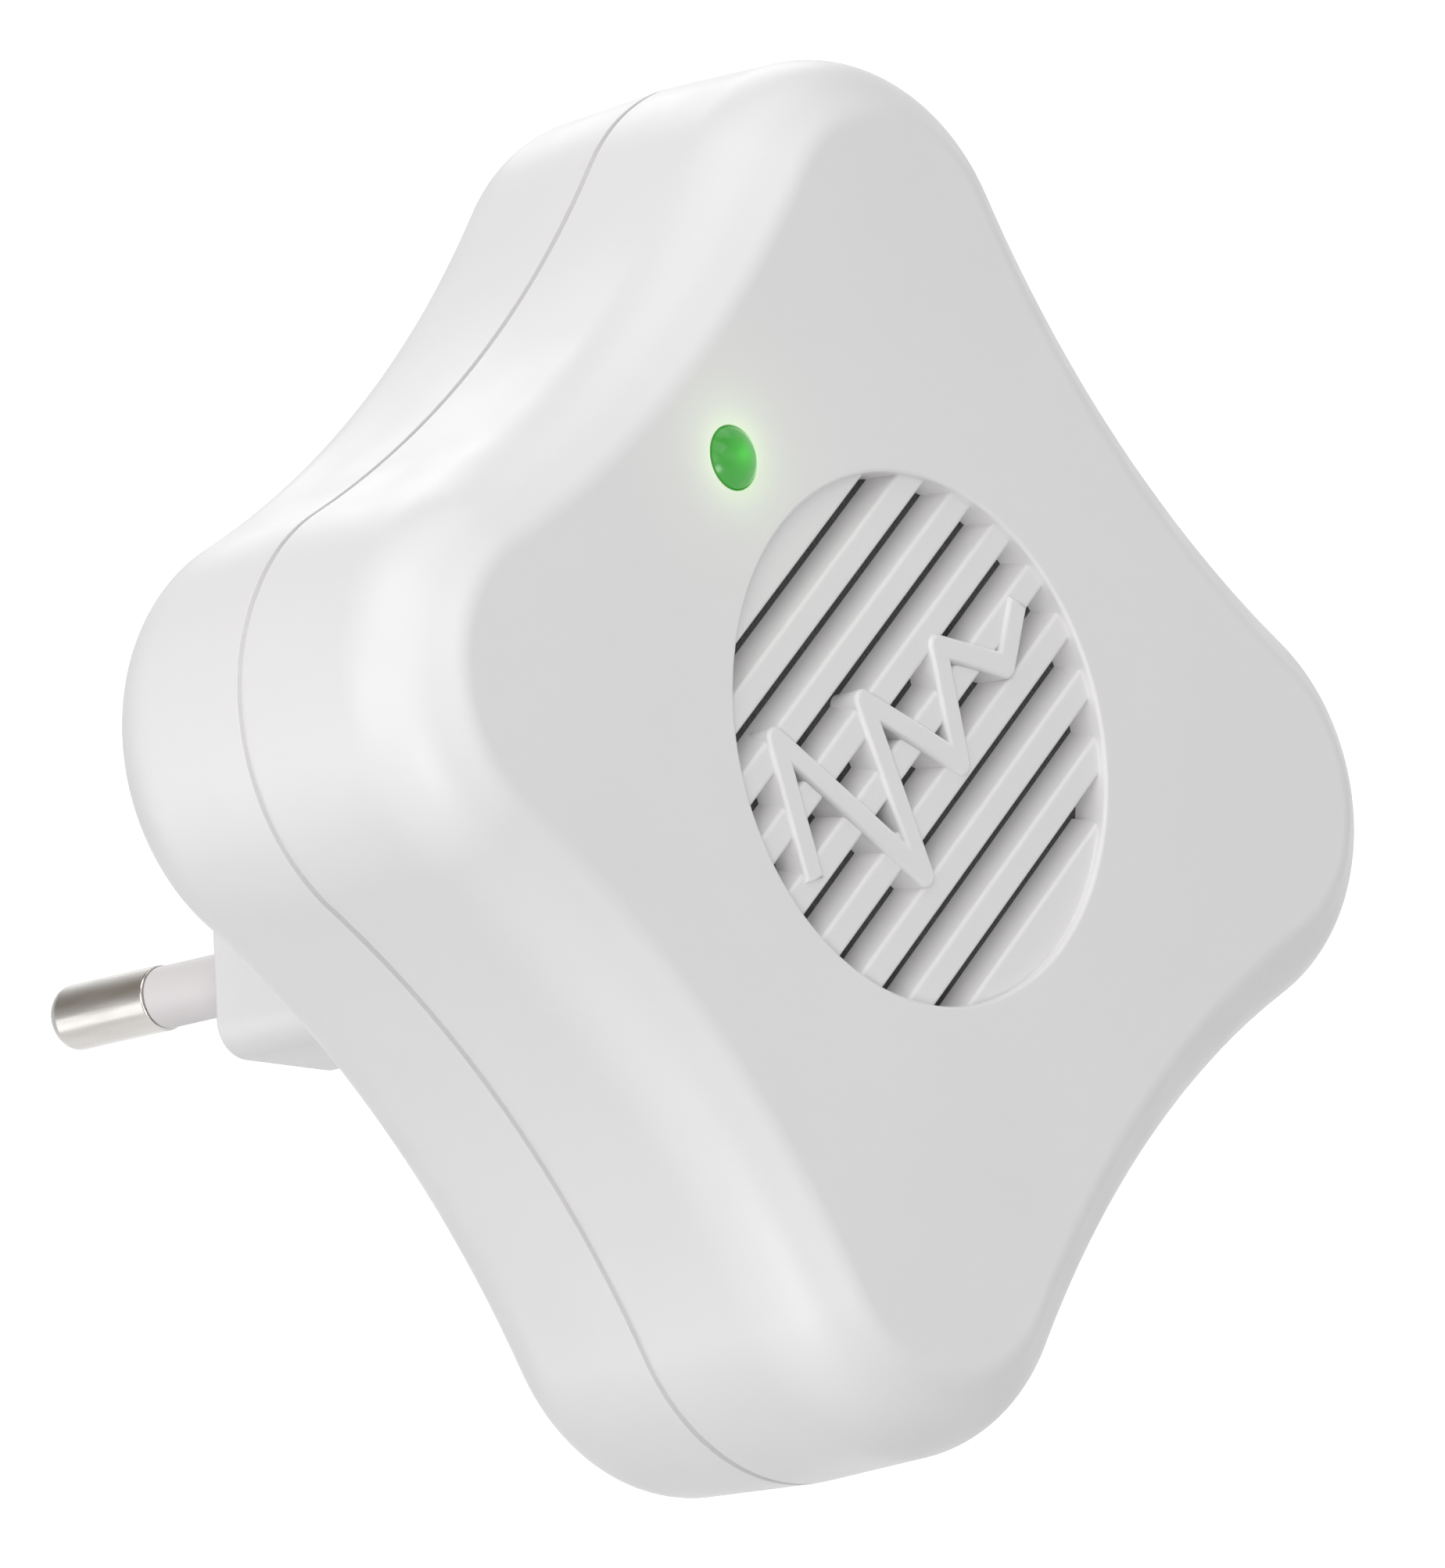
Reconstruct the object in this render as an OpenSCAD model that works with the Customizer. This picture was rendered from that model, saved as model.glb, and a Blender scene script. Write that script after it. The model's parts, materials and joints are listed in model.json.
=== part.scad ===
// Plug-in ultrasonic pest repeller: a four-lobed two-shell housing on a flat two-pin plug.
// Millimetres. +Z is up, the louvred front faces -Y, the pins point along +Y.
// The origin is the middle of the plug's engagement face, between the pins.

/* [Housing outline] */
// Distance between neighbouring lobe centres, which is also the pitch of the housing screws
lobe_pitch = 39.7; // [38:0.1:44]
// Radius of each lobe
lobe_r = 13.2; // [12:0.2:15]

/* [Front shell] */
// Depth from the seam to the front face
front_depth = 13.4; // [12.6:0.2:15]
// Depth over which the front edge turns from the side wall to the front face
front_bevel = 5.65; // [5.5:0.05:6.4]
// Radius of the front edge's rounding
front_round = 5.5; // [4.8:0.1:6]
// Angle that the rounding turns through before it runs on straight
front_turn = 55; // [50:1:60]
// Radius of the blend between that straight stretch and the front face
face_blend = 2; // [1:0.25:3]
// Thickness of the front face
face_wall = 2.4; // [2:0.1:3]

/* [Rear shell] */
// Depth from the seam to the rear face
rear_depth = 13.8; // [13.2:0.2:15.4]
// Depth of the rear shell's side wall before it rounds over
rear_side = 8; // [7.2:0.1:9]
// How far the rear edge's rounding runs in from the side
rear_edge = 8.4; // [6:0.1:8.8]

/* [Shell walls and seam] */
// Wall thickness of both shells
wall = 2; // [1.8:0.1:2.3]
// How far a side wall leans in by its end, so that it leaves its mould
draft_in = 0.3; // [0.1:0.1:0.6]
// Exponent of the rear shell's rounded edge, where 2 is an ellipse and more is fuller
edge_power = 2.1; // [2:0.05:2.5]
// Width of the shadow gap along the seam
seam_gap = 0.25; // [0.1:0.05:0.5]
// Height of the locating lip that enters the rear shell
lip_h = 1.5; // [1:0.1:2]
// Thickness of the locating lip
lip_t = 0.9; // [0.7:0.1:1]
// Gap between the lip and the rear shell's rim
lip_gap = 0.1; // [0.05:0.05:0.2]

/* [Grille] */
// Radius of the round sunk grille
grille_r = 15.5; // [14:0.1:15.8]
// Height of the grille's centre above the plug's axis
grille_z = 0; // [-0.5:0.1:0.6]
// Depth of the grille below the front face
grille_sunk = 0.55; // [0.3:0.05:0.7]
// Number of slots
slot_count = 8; // [4:2:8]
// Distance from slot to slot
slot_pitch = 3.46; // [3:0.02:3.6]
// Width of a slot at its mouth
slot_w = 1.72; // [1.3:0.02:2]
// How much each slot wall leans in by its bottom
slot_draft = 0.35; // [0.1:0.05:0.45]
// Width of the raised wave ribbon
wave_w = 1.5; // [0.9:0.1:1.6]
// Height of the wave ribbon above the bars
wave_rise = 0.25; // [0.1:0.05:0.3]
// Height of the wave's first crest
wave_crest = 7.4; // [5:0.2:8]
// Share of its height that each crest keeps from the one before
wave_keep = 0.76; // [0.6:0.02:0.85]
// Distance along the wave from crest to trough
wave_step = 3.7; // [3.2:0.1:3.9]

/* [Indicator light] */
// Height of the light above the plug's axis
led_z = 20.6; // [20.5:0.1:21.4]
// Radius of the light's lens
led_r = 1.8; // [1.4:0.05:1.8]
// Gap between the lens and its hole in the front face
led_gap = 0.08; // [0.05:0.01:0.2]
// How far the dome stands out of the face
led_out = 0.9; // [0.4:0.1:1.6]
// Length of the lens from its flange to the dome's tip
led_len = 5.2; // [4.6:0.1:5.6]
// Distance between its two legs
led_pitch = 2.54; // [2:0.02:2.6]

/* [Plug] */
// Distance from the seam to the plug's engagement face
plug_reach = 32.8; // [30:0.2:38]
// Width across the plug block's points, before rounding
plug_w = 35.3; // [34:0.1:36]
// Height across the plug block's flats
plug_h = 13.7; // [13:0.1:14]
// Radius of the plug block's long edges
plug_round = 2.2; // [1.6:0.1:2.8]
// Size of the bevel round the plug's engagement face
plug_bevel = 0.4; // [0.2:0.1:1]
// Thickness of the wall that the pins pass through
plug_end = 2.4; // [2:0.1:3]
// Distance between the pins
pin_pitch = 19; // [18:0.1:19.4]
// Length of a pin outside the plug
pin_len = 18.5; // [18:0.5:20]
// Length of the bare metal end
pin_bare = 8.5; // [8:0.5:10]
// Radius of the rounding at the pin's tip
pin_nose = 1; // [0.6:0.1:1.6]
// Radius of the bare metal end
pin_r = 2; // [1.8:0.05:2.1]
// Outer radius of the insulating sleeve
sleeve_r = 1.75; // [1.6:0.05:1.75]
// Radius of the pin's core inside the sleeve
core_r = 1.3; // [1.1:0.05:1.4]
// Radius of the collar that stops the pin inside the plug
collar_r = 2.9; // [2.6:0.1:3.2]
// Thickness of that collar
collar_t = 1.5; // [1.2:0.1:2]
// Thickness of the bar that holds both collars down
retainer_t = 2; // [1.6:0.1:2.4]

/* [Fasteners] */
// Radius of the bosses round the housing screws
boss_r = 4.2; // [4:0.1:4.4]
// Radius of a housing screw's head
head_r = 2.6; // [2.3:0.1:2.8]
// Radius of a housing screw's shank
shank_r = 1.4; // [1.2:0.05:1.5]
// Depth of the screw's counterbore from the rear face
counterbore = 7.5; // [6:0.5:8.5]
// How far a housing screw reaches into the front shell
screw_grip = 7; // [5:0.5:8.5]
// Radius of a small screw's head
small_head_r = 1.9; // [1.6:0.1:2.1]
// Radius of a small screw's shank
small_shank_r = 1; // [0.8:0.05:1.1]
// Length of a small screw under its head
small_screw = 5.5; // [5:0.5:6]
// Radius of the posts and bosses for the small screws
post_r = 2.4; // [2.2:0.1:2.5]

/* [Sounder] */
// Radius of the sounder's flange
sounder_r = 18; // [17.4:0.1:18.2]
// Thickness of the flange
flange_t = 1.6; // [1.2:0.1:2]
// Distance from the seam to the flange's front face
flange_at = 6.5; // [6:0.1:7]
// Radius of the bowl behind the flange
bowl_r = 15; // [14:0.1:15.4]
// Radius of the bowl's floor
bowl_floor_r = 11; // [10:0.1:12]
// Wall thickness of the bowl
bowl_wall = 1.2; // [1:0.1:1.4]
// Radius of the sounder's fixing circle
ear_circle = 21; // [20.8:0.1:21.4]
// Thickness of the foam gasket
gasket_t = 0.8; // [0.5:0.1:1.2]
// Thickness of the dust felt behind the slots
felt_t = 0.5; // [0.3:0.1:0.8]
// Radius of the brass disc
disc_r = 8.5; // [7:0.1:9]
// Radius of the ceramic wafer on it
wafer_r = 6.5; // [5:0.1:6.8]

/* [Circuit board] */
// Half the length of each arm of the cross-shaped board
board_half = 24.4; // [23.6:0.2:25]
// Thickness of the board
board_t = 1.6; // [1.2:0.1:2]
// Distance from the seam to the board's front face
board_at = 2.2; // [1.9:0.1:2.6]
// Distance of the board's screws from the middle, sideways
board_fix_x = 21.2; // [20.6:0.1:21.6]
// Distance of the board's screws from the middle, up and down
board_fix_z = 11; // [10:0.5:11.5]
// Radius of the component leads
lead_r = 0.3; // [0.2:0.05:0.35]
// Radius of the wires' insulation
wire_r = 0.9; // [0.7:0.1:1.1]

/* [Hidden] */
$fn = 64;

// Colours
WHITE = [0.86, 0.86, 0.87];
SLEEVE_GREY = [0.78, 0.77, 0.77];
NICKEL = [0.74, 0.72, 0.69];
STEEL = [0.6, 0.6, 0.62];
TIN = [0.72, 0.73, 0.74];
BLACK = [0.07, 0.07, 0.08];
BOARD_TAN = [0.66, 0.48, 0.27];

// Small values shared by all pieces
over = 1;
fit = 0.05;
head_clear = 0.4;
shank_clear = 0.2;
screw_room = 0.5;
plug_skin = 0.8;
edge_steps = 10;
blend_steps = 5;
felt_ring = 0.3;

// Housing outline: every lobe centre lies on a diagonal, every waist centre on X or Z.
// The line from a lobe centre to a waist centre is the long side of a 16:63:65 triangle, so that
// all radii and centres are round numbers and the arcs meet without a step.
function snap(v) = round(v * 1000) / 1000;
lobe_at = round(lobe_pitch / 0.32) * 0.16;
lobe_radius = snap(lobe_r);
waist_at = snap(lobe_at * 79 / 16);
waist_radius = snap(lobe_at * 65 / 16 - lobe_radius);

// Depths behind the seam of the faces that pieces seat on
front_side = front_depth - front_bevel;
front_floor = face_wall - front_depth;
rear_floor = rear_depth - wall;
plug_floor = plug_reach - plug_end;
board_back = board_at + board_t;
collar_front = plug_floor - collar_t;
retainer_front = collar_front - retainer_t;
flange_front = -flange_at;
flange_back = flange_front + flange_t;
tube_end = flange_front - gasket_t;
solder_h = 0.7;
retainer_rim = 0.4;
retainer_gap = 0.3;
bowl_back = board_at - solder_h - 0.5;
bowl_floor = bowl_back - bowl_wall;
head_seat = rear_depth - counterbore;

// Sounder: sound tube, cone seat and the stack under the cone
tube_r = grille_r + 0.7;
cone_seat = flange_front + 0.8;
cone_rim_r = bowl_r + 0.6;
cone_t = 0.4;
cone_tip_r = 2.6;
disc_t = 0.3;
wafer_t = 0.25;
damper_t = 1.4;
wafer_back = bowl_floor - damper_t;
disc_back = wafer_back - wafer_t;
disc_front = disc_back - disc_t;
ear_angles = [30, 150, 270];
sounder_lead_x = 4;
sounder_lead_z = -4.2;

// Board outline clears the bosses of the housing screws
board_arm = lobe_at - boss_r - 0.5;

// Circuit parts on the back of the board: middle of each part as [x, z]
fuse_pos = [-19.5, 0];
film_pos = [-8, 13.5];
bridge_pos = [8.2, 8];
filter_pos = [7.6, 17];
zener_pos = [19.5, 0];
resistor_pos = [[-7, 4.4], [-7, 1], [7, 1]];
ceramic_pos = [[-12.4, -4], [12.4, -4.6]];
chip_pos = [0, -18];
transistor_pos = [[-10.4, -18], [10.4, -18]];
coil_pos = [0, -5.4];
wire_z = -10.4;
lead_off = 0.5;

// Sizes of those parts
fuse_body = [9, 1.6];
fuse_span = 13;
film_size = [12.6, 6, 10.6];
film_span = 10;
bridge_size = [8.4, 3.3, 6.4];
bridge_span = [5.1, 7.6];
filter_r = 3.15;
filter_len = 11;
filter_span = 2.5;
zener_body = [5.2, 1.35];
zener_span = 11;
resistor_body = [6.4, 1.2];
resistor_span = 10;
ceramic_r = 2.6;
ceramic_t = 2.2;
ceramic_span = 3.8;
chip_size = [9.6, 3.4, 6.4];
chip_pins = 4;
chip_pin_pitch = 2.54;
chip_row = 7.62;
transistor_r = 2.3;
transistor_h = 4.6;
transistor_flat = 1.3;
transistor_legs = 1.8;
transistor_pitch = 1.27;
coil_r = 4;
coil_h = 6.6;
coil_span = 5;
coil_flange = 1.2;
coil_waist = 0.8;

// Where every lead enters the board, as [x, z]
function pair_x(p, span) = [[p.x - span / 2, p.y], [p.x + span / 2, p.y]];
function pair_z(p, span) = [[p.x, p.y - span / 2], [p.x, p.y + span / 2]];
chip_leads = [
    for (i = [0:chip_pins - 1], side = [-1, 1])
        [chip_pos.x + (i - (chip_pins - 1) / 2) * chip_pin_pitch, chip_pos.y + side * chip_row / 2]
];
transistor_leads = [for (p = transistor_pos, i = [-1:1]) [p.x + i * transistor_pitch, p.y]];
bridge_leads = [
    for (sx = [-1, 1], sz = [-1, 1])
        [bridge_pos.x + sx * bridge_span.x / 2, bridge_pos.y + sz * bridge_span.y / 2]
];
filter_lead_x = filter_pos.x - filter_len / 2 - 1.4;
filter_leads = pair_z([filter_lead_x, filter_pos.y], filter_span);
wire_leads = [[-pin_pitch / 2, wire_z], [pin_pitch / 2, wire_z]];
all_leads = concat(
    pair_z(fuse_pos, fuse_span), pair_x(film_pos, film_span), bridge_leads, filter_leads,
    pair_z(zener_pos, zener_span), pair_x(resistor_pos[0], resistor_span),
    pair_x(resistor_pos[1], resistor_span), pair_x(resistor_pos[2], resistor_span),
    pair_z(ceramic_pos[0], ceramic_span), pair_z(ceramic_pos[1], ceramic_span),
    chip_leads, transistor_leads, pair_x(coil_pos, coil_span), pair_x([0, led_z], led_pitch), wire_leads
);

// ---- Shared shapes. Each is drawn with the seam at Y = 0; at_seam() then puts it in place ----

module at_seam() {
    translate([0, -plug_reach, 0]) children();
}

// Round bar along Y between two depths behind the seam
module rod(r, from, to, x = 0, z = 0) {
    translate([x, from, z]) rotate([-90, 0, 0]) cylinder(h = to - from, r = r);
}

// Bar that narrows from one radius to another along Y
module taper(r_from, r_to, from, to, x = 0, z = 0) {
    translate([x, from, z]) rotate([-90, 0, 0]) cylinder(h = to - from, r1 = r_from, r2 = r_to);
}

// Shape turned round the Y axis from points of [radius, depth behind the seam]
module turned(points, x = 0, z = 0) {
    translate([x, 0, z]) rotate([-90, 0, 0]) rotate_extrude() polygon(points);
}

// Outline in X and Z, extruded between two depths behind the seam
module plate(from, to) {
    translate([0, to, 0]) rotate([90, 0, 0]) linear_extrude(to - from) children();
}

// Sections of the shells' walls as [distance from the seam, inset from the outline].
// They start at distance start and lean in to the end of the side.
function snapped(rows) = [for (p = rows) [snap(p[0]), snap(p[1])]];
function side_rows(start, side, inset) =
    start < 0 ? [[start, inset], [0, inset]] : [[start, inset + draft_in * start / side]];

// The front wall turns through an arc, runs on straight and blends into the face at top
function front_section(start, top, inset, r, blend) =
    let (
        bend = front_side + r * sin(front_turn),
        bend_in = inset + draft_in + r * (1 - cos(front_turn)),
        crest = top - blend * (1 - sin(front_turn)),
        crest_in = bend_in + (crest - bend) * tan(front_turn) + blend * cos(front_turn)
    )
    snapped(concat(
        side_rows(start, front_side, inset),
        [
            for (i = [0:edge_steps])
                let (a = front_turn * i / edge_steps)
                [front_side + r * sin(a), inset + draft_in + r * (1 - cos(a))]
        ],
        [
            for (i = [0:blend_steps])
                let (a = front_turn + (90 - front_turn) * i / blend_steps)
                [top - blend * (1 - sin(a)), crest_in - blend * cos(a)]
        ]
    ));

// The rear wall rounds over to top along part of a superellipse
function rear_section(start, top, inset, edge) =
    snapped(concat(
        side_rows(start, rear_side, inset),
        [
            for (i = [0:edge_steps])
                let (a = 90 * i / edge_steps)
                [
                    rear_side + (top - rear_side) * pow(sin(a), 2 / edge_power),
                    inset + draft_in + edge * (1 - pow(cos(a), 2 / edge_power))
                ]
        ]
    ));

// Solid with the housing's outline, whose walls follow a section. It rises along +Z.
// Each lobe is a turned solid, cut along the two lines from its centre to its waist centres.
// The rest is a star between those lines, hollowed by a turned cutter at each waist.
module lobed_solid(section) {
    last = len(section) - 1;
    low = section[0][0];
    high = section[last][0];
    lobe_section = concat(
        [[0, low]],
        [for (p = section) [lobe_radius - p[1], p[0]]],
        [[0, high]]
    );
    waist_section = concat(
        [[0, low - over], [waist_radius + section[0][1], low - over]],
        [for (p = section) [waist_radius + p[1], p[0]]],
        [[waist_radius + section[last][1], high + over], [0, high + over]]
    );
    star = [
        for (k = [0:3], p = [[waist_at, 0], [lobe_at, lobe_at]])
            [p.x * cos(90 * k) - p.y * sin(90 * k), p.x * sin(90 * k) + p.y * cos(90 * k)]
    ];
    for (k = [0:3])
        rotate(90 * k) intersection() {
            translate([lobe_at, lobe_at, 0]) rotate_extrude() polygon(lobe_section);
            translate([0, 0, low - over]) linear_extrude(high - low + 2 * over)
                polygon([[lobe_at, lobe_at], [waist_at, 0], [waist_at, waist_at], [0, waist_at]]);
        }
    difference() {
        translate([0, 0, low]) linear_extrude(high - low) polygon(star);
        for (k = [0:3])
            rotate(90 * k) translate([waist_at, 0, 0]) rotate_extrude($fn = 240) polygon(waist_section);
    }
}

// The plug block's hexagon in X and Z, drawn in by a distance
module plug_outline(inset) {
    flat = plug_h / 2 - inset;
    point = plug_w / 2 - inset * sqrt(2);
    polygon([
        [point, 0], [point - flat, flat], [flat - point, flat],
        [-point, 0], [flat - point, -flat], [point - flat, -flat]
    ]);
}

// The pin retainer's outline in X and Z, drawn out by a distance
module retainer_outline(grow) {
    half = collar_r + retainer_rim + grow;
    translate([-pin_pitch / 2, -half]) square([pin_pitch, 2 * half]);
    for (side = [-1, 1]) translate([side * pin_pitch / 2, 0]) circle(r = half);
}

// Places for the four housing screws, the board screws and the sounder's ears
module at_lobes() {
    for (sx = [-1, 1], sz = [-1, 1]) translate([sx * lobe_at, 0, sz * lobe_at]) children();
}

module at_board_fixings() {
    for (sx = [-1, 1], sz = [-1, 1]) translate([sx * board_fix_x, 0, sz * board_fix_z]) children();
}

module at_ears() {
    for (a = ear_angles)
        translate([ear_circle * cos(a), 0, grille_z + ear_circle * sin(a)]) children();
}

// Pan-head screw whose head sits on depth seat. Way is +1 when it is driven towards -Y, else -1
module screw(seat, length, head, shank, way) {
    head_h = head * 0.7;
    recess_r = head * 0.55;
    translate([0, seat, 0]) rotate([way * -90, 0, 0]) difference() {
        union() {
            cylinder(h = head_h * 0.6, r = head);
            translate([0, 0, head_h * 0.6]) cylinder(h = head_h * 0.4, r1 = head, r2 = head * 0.7);
            translate([0, 0, 1.2 - length]) cylinder(h = length - 1.2, r = shank);
            translate([0, 0, -length]) cylinder(h = 1.2, r1 = shank * 0.4, r2 = shank);
        }
        for (a = [0, 90])
            rotate(a) translate([-recess_r, -head * 0.12, head_h * 0.5])
                cube([2 * recess_r, head * 0.24, head_h]);
    }
}

// ---- Housing ----

// Middle line of the damped wave on the grille, as [x, z] from the grille's centre
wave_turns = 6;
wave_start_x = -wave_step * (wave_turns + 1) / 2;
wave_line = [
    for (k = [0:wave_turns + 1])
        let (turning = k > 0 && k <= wave_turns)
        [
            wave_start_x + k * wave_step,
            turning ? (k % 2 == 1 ? 1 : -1) * wave_crest * pow(wave_keep, k - 1) : 0
        ]
];

// One side of the ribbon round a turn: an arc on the outer side, a mitre on the inner side
function wave_heading(k) = atan2(wave_line[k + 1].y - wave_line[k].y, wave_line[k + 1].x - wave_line[k].x);
function ribbon_corner(k, side) =
    let (
        before = wave_heading(k - 1),
        after = wave_heading(k),
        outer = side * (after - before) < 0,
        half = (after - before) / 2,
        middle = before + half + side * 90
    )
    outer
        ? [
            for (i = [0:6])
                let (a = before + side * 90 + (after - before) * i / 6)
                wave_line[k] + wave_w / 2 * [cos(a), sin(a)]
        ]
        : [wave_line[k] + wave_w / 2 / cos(half) * [cos(middle), sin(middle)]];
function ribbon_end(k, heading, side) =
    wave_line[k] + wave_w / 2 * [cos(heading + side * 90), sin(heading + side * 90)];
function ribbon_side(side) = concat(
    [ribbon_end(0, wave_heading(0), side)],
    [for (k = [1:wave_turns], p = ribbon_corner(k, side)) p],
    [ribbon_end(wave_turns + 1, wave_heading(wave_turns), side)]
);
function reversed(list) = [for (i = [len(list) - 1:-1:0]) list[i]];

module wave_outline() {
    translate([0, grille_z]) polygon(concat(ribbon_side(1), reversed(ribbon_side(-1))));
}

// Louvre slots: drafted slots that end on the grille's round rim
module slots() {
    mouth = -front_depth + grille_sunk - over;
    floor_at = front_floor + over;
    lean = slot_draft / (face_wall - grille_sunk);
    intersection() {
        rod(grille_r, mouth, floor_at, 0, grille_z);
        for (i = [0:slot_count - 1])
            translate([-grille_r, 0, grille_z + (i - (slot_count - 1) / 2) * slot_pitch])
                rotate([90, 0, 90]) linear_extrude(2 * grille_r) polygon([
                    [mouth, slot_w / 2 + lean * over], [mouth, -slot_w / 2 - lean * over],
                    [floor_at, -slot_w / 2 + slot_draft + lean * over],
                    [floor_at, slot_w / 2 - slot_draft - lean * over]
                ]);
    }
}

// What stands inside the front shell: screw bosses, sound tube, sounder bosses, ribs
module front_inside() {
    rib_t = 1.2;
    at_lobes() rod(boss_r - 1, -front_depth, 0);
    difference() {
        rod(tube_r + 1.8, -front_depth, tube_end, 0, grille_z);
        rod(tube_r, -front_depth - over, tube_end + over, 0, grille_z);
    }
    at_ears() rod(post_r, -front_depth, flange_front);
    for (a = [45:90:315])
        rotate([0, a, 0]) translate([tube_r + 1, -front_depth, -rib_t / 2])
            cube([lobe_at * sqrt(2) + lobe_radius - tube_r - 1, front_depth - front_side, rib_t]);
}

module front_cover() {
    sunk_floor = -front_depth + grille_sunk;
    color(WHITE) at_seam() {
        difference() {
            rotate([90, 0, 0]) union() {
                lobed_solid(front_section(seam_gap / 2, front_depth, 0, front_round, face_blend));
                lobed_solid([[-lip_h, snap(wall - lip_t)], [over, snap(wall - lip_t)]]);
            }
            difference() {
                rotate([90, 0, 0])
                    lobed_solid(front_section(-lip_h - over, -front_floor, wall, front_round - wall, face_blend / 5));
                front_inside();
            }
            rod(grille_r, -front_depth - over, sunk_floor, 0, grille_z);
            difference() {
                slots();
                plate(-front_depth - 3 * over, front_floor + 3 * over) wave_outline();
            }
            rod(led_r + led_gap, -front_depth - over, front_floor + over, 0, led_z);
            at_lobes() rod(shank_r + fit, -screw_grip - 1, over);
            at_ears() rod(small_shank_r + fit, flange_back - small_screw - 0.5, flange_front + over);
        }
        plate(sunk_floor - wave_rise, sunk_floor + over) wave_outline();
    }
}

// What stands inside the rear shell: screw bosses, board posts, the boss under the pin retainer
module rear_inside() {
    at_lobes() rod(boss_r, 0, rear_depth);
    at_board_fixings() rod(post_r, board_back, rear_depth);
    rod(post_r, collar_front, plug_reach);
}

module rear_cover() {
    flat = plug_h / 2 - plug_round;
    point = plug_w / 2 - plug_round * sqrt(2);
    color(WHITE) at_seam() difference() {
        union() {
            rotate([-90, 0, 0])
                lobed_solid(rear_section(seam_gap / 2, rear_depth, 0, rear_edge));
            hull()
                for (sx = [-1, 1], p = [[point, 0], [point - flat, flat], [point - flat, -flat]]) {
                    rod(plug_round, rear_floor, plug_reach - plug_bevel, sx * p.x, p.y, $fn = 32);
                    rod(plug_round - plug_bevel, rear_floor, plug_reach, sx * p.x, p.y, $fn = 32);
                }
        }
        difference() {
            union() {
                rotate([-90, 0, 0]) union() {
                    lobed_solid(rear_section(-over, rear_floor, wall, rear_edge - wall));
                    lobed_solid([[-over, snap(wall - lip_t - lip_gap)], [lip_h, snap(wall - lip_t - lip_gap)]]);
                }
                plate(rear_floor - over, plug_floor) {
                    plug_outline(wall);
                    retainer_outline(retainer_gap);
                }
            }
            rear_inside();
        }
        at_lobes() {
            rod(head_r + head_clear, head_seat, rear_depth + over);
            rod(shank_r + shank_clear, -over, head_seat + over);
        }
        at_board_fixings() rod(small_shank_r + fit, board_back - over, board_at + small_screw + screw_room);
        for (side = [-1, 1]) rod(sleeve_r + fit, plug_floor - over, plug_reach + over, side * pin_pitch / 2);
        rod(small_shank_r + fit, collar_front - over, plug_reach - plug_skin);
    }
}

module housing_screws() {
    color(STEEL) at_seam() at_lobes() screw(head_seat, head_seat + screw_grip, head_r, shank_r, 1);
}

// ---- Plug ----

solder_cup = 2.5;
stub_len = 2;

// One pin: solder cup, collar, core under the sleeve and the bare round-ended tip
module pin(side) {
    shoulder = plug_reach + pin_len - pin_bare;
    tip = plug_reach + pin_len;
    stub = retainer_front - stub_len;
    color(NICKEL) at_seam() translate([side * pin_pitch / 2, 0, 0]) difference() {
        turned(concat(
            [[0, stub], [core_r + 0.2, stub], [core_r + 0.2, collar_front], [collar_r, collar_front]],
            [[collar_r, plug_floor], [core_r, plug_floor], [core_r, shoulder], [pin_r, shoulder]],
            [for (i = [0:8]) [pin_r - pin_nose * (1 - cos(i * 11.25)), tip - pin_nose * (1 - sin(i * 11.25))]],
            [[0, tip]]
        ));
        rod(wire_core_r + fit, stub - over, stub + solder_cup);
    }
}

module pin_left() {
    pin(-1);
}

module pin_right() {
    pin(1);
}

// Insulating sleeve from the pin's collar to the shoulder of its bare end
module sleeve(side) {
    shoulder = plug_reach + pin_len - pin_bare;
    color(SLEEVE_GREY) at_seam() translate([side * pin_pitch / 2, 0, 0]) difference() {
        rod(sleeve_r, plug_floor, shoulder);
        rod(core_r + fit / 2, plug_floor - over, shoulder + over);
    }
}

module sleeve_left() {
    sleeve(-1);
}

module sleeve_right() {
    sleeve(1);
}

// Bar that holds both collars against the end wall of the plug
module pin_retainer() {
    color(BLACK) at_seam() difference() {
        plate(retainer_front, collar_front) retainer_outline(0);
        for (side = [-1, 1])
            rod(core_r + 0.3, retainer_front - over, collar_front + over, side * pin_pitch / 2);
        rod(small_shank_r + 0.15, retainer_front - over, collar_front + over);
    }
}

module retainer_screw() {
    reach = min(small_screw, retainer_t + collar_t + plug_end - 1.2);
    color(STEEL) at_seam() screw(retainer_front, reach, small_head_r, small_shank_r, -1);
}

// ---- Mains wires: from a pin's solder cup down to the board, in the plane of the pin ----

wire_core_r = 0.5;
wire_bend = 2.4;
wire_cross = board_back + 4.6;

// Quarter bend in the YZ plane round a centre at [y, z], from angle from on
module wire_elbow(x, centre, from) {
    translate([x, centre.x, centre.y]) rotate([0, 90, 0]) rotate([0, 0, from])
        rotate_extrude(angle = 90) translate([wire_bend, 0]) circle(r = wire_r, $fn = 32);
}

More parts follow.
